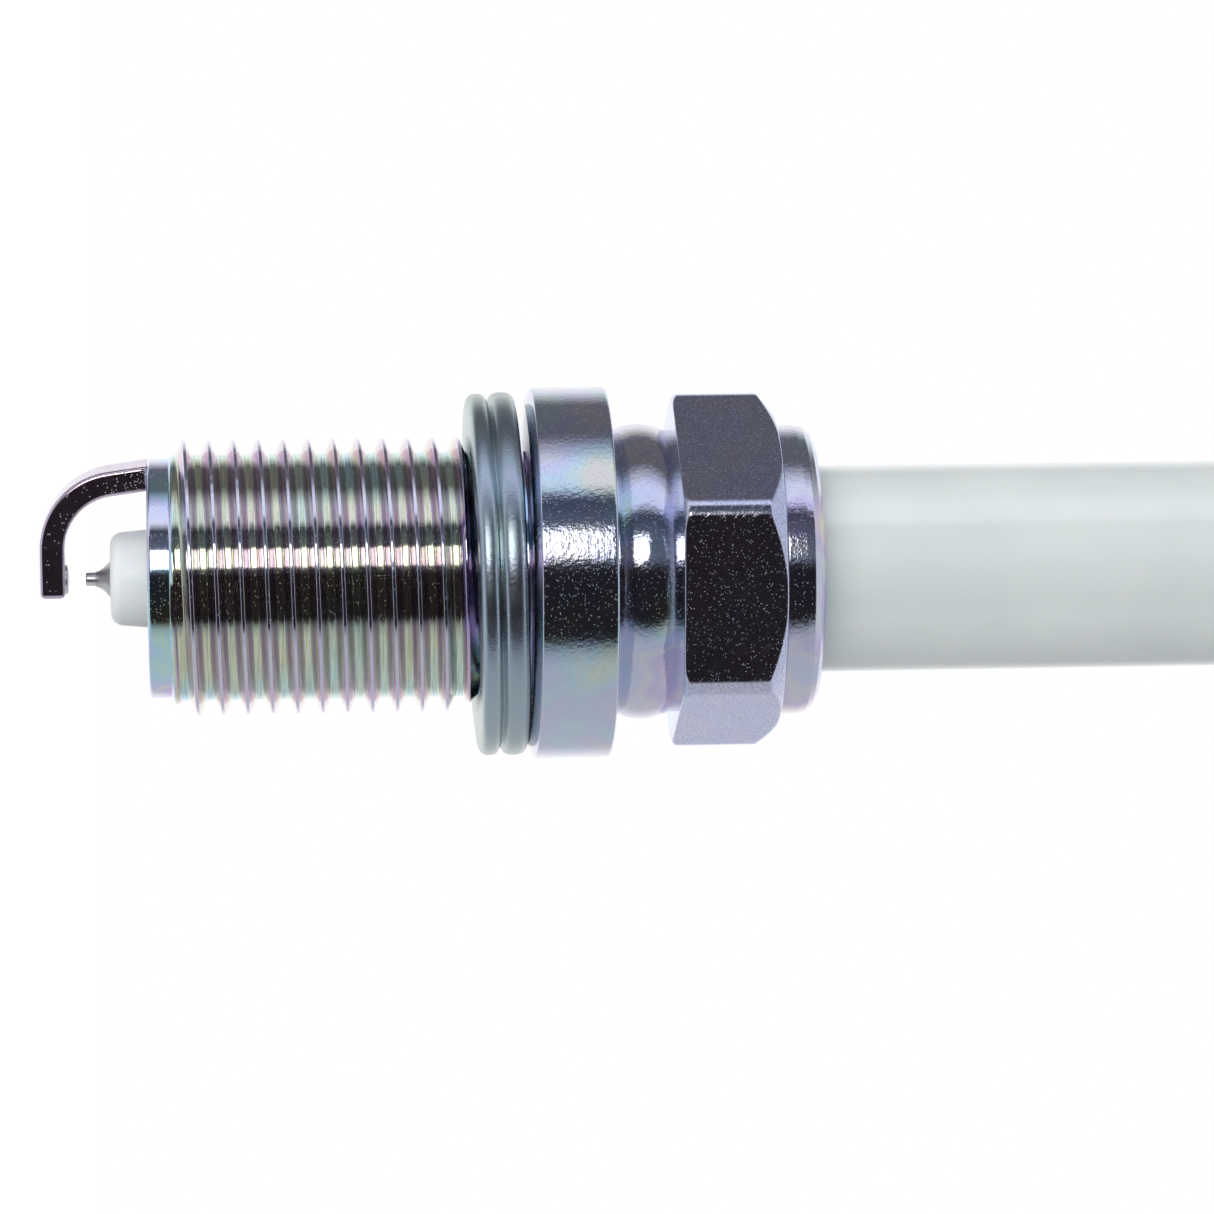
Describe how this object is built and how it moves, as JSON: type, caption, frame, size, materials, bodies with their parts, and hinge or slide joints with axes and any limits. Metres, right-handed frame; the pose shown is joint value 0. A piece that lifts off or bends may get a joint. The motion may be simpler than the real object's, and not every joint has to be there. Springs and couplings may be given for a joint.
{
  "type": "spark plug",
  "caption": "Spark plug: threaded metal shell with wrench hexagon, white ceramic insulator, fine-tip centre electrode under a bent ground electrode, loose folded gasket and screw-on terminal.",
  "frame": {"origin": "on the plug's axis, in the plane of the collar face that the gasket bears on", "axes": "+Z along the plug's axis from the firing end towards the terminal; the ground electrode's weld is on the -X side, and two hexagon flats face +Y and -Y"},
  "size_m": [0.0188, 0.0188, 0.0749],
  "materials": {
    "plated_shell": "bright trivalent-chromate nickel plating with faint interference tints, over rolled and turned steel",
    "electrode_nickel": "dark satin nickel alloy, lightly grained",
    "precious_metal": "fine satin precious metal",
    "glazed_ceramic": "white alumina, glazed on the head and bare at the nose",
    "copper": "copper core",
    "seal_glass": "fused conductive glass",
    "resistor_ceramic": "fused resistor compound",
    "stud_steel": "plated steel",
    "terminal_plating": "bright nickel plating",
    "gasket_steel": "satin zinc-plated sheet steel, folded",
    "packing_steel": "soft steel",
    "talc": "pressed talc powder"
  },
  "bodies": {
    "plug": {"shell": "plated_shell", "ground_electrode": "electrode_nickel", "ground_electrode_pad": "precious_metal", "insulator": "glazed_ceramic", "centre_electrode": "electrode_nickel", "centre_electrode_core": "copper", "centre_electrode_tip": "precious_metal", "lower_glass_seal": "seal_glass", "resistor": "resistor_ceramic", "upper_glass_seal": "seal_glass", "terminal_stud": "stud_steel", "packing_washer": "packing_steel", "lower_wire_ring": "packing_steel", "talc_packing": "talc", "upper_wire_ring": "packing_steel"},
    "gasket": {"gasket": "gasket_steel"},
    "terminal_nut": {"terminal_nut": "terminal_plating"}
  },
  "joints": [
    {"name": "gasket_rock", "type": "hinge", "parent": "plug", "child": "gasket", "pos_m": [0.0087, 0, -0.00003], "axis": [0, 1, 0], "range_deg": [0, 1.4]},
    {"name": "terminal_nut_unscrew", "type": "slide", "parent": "plug", "child": "terminal_nut", "axis": [0, 0, 1], "range_m": [0, 0.009]}
  ]
}
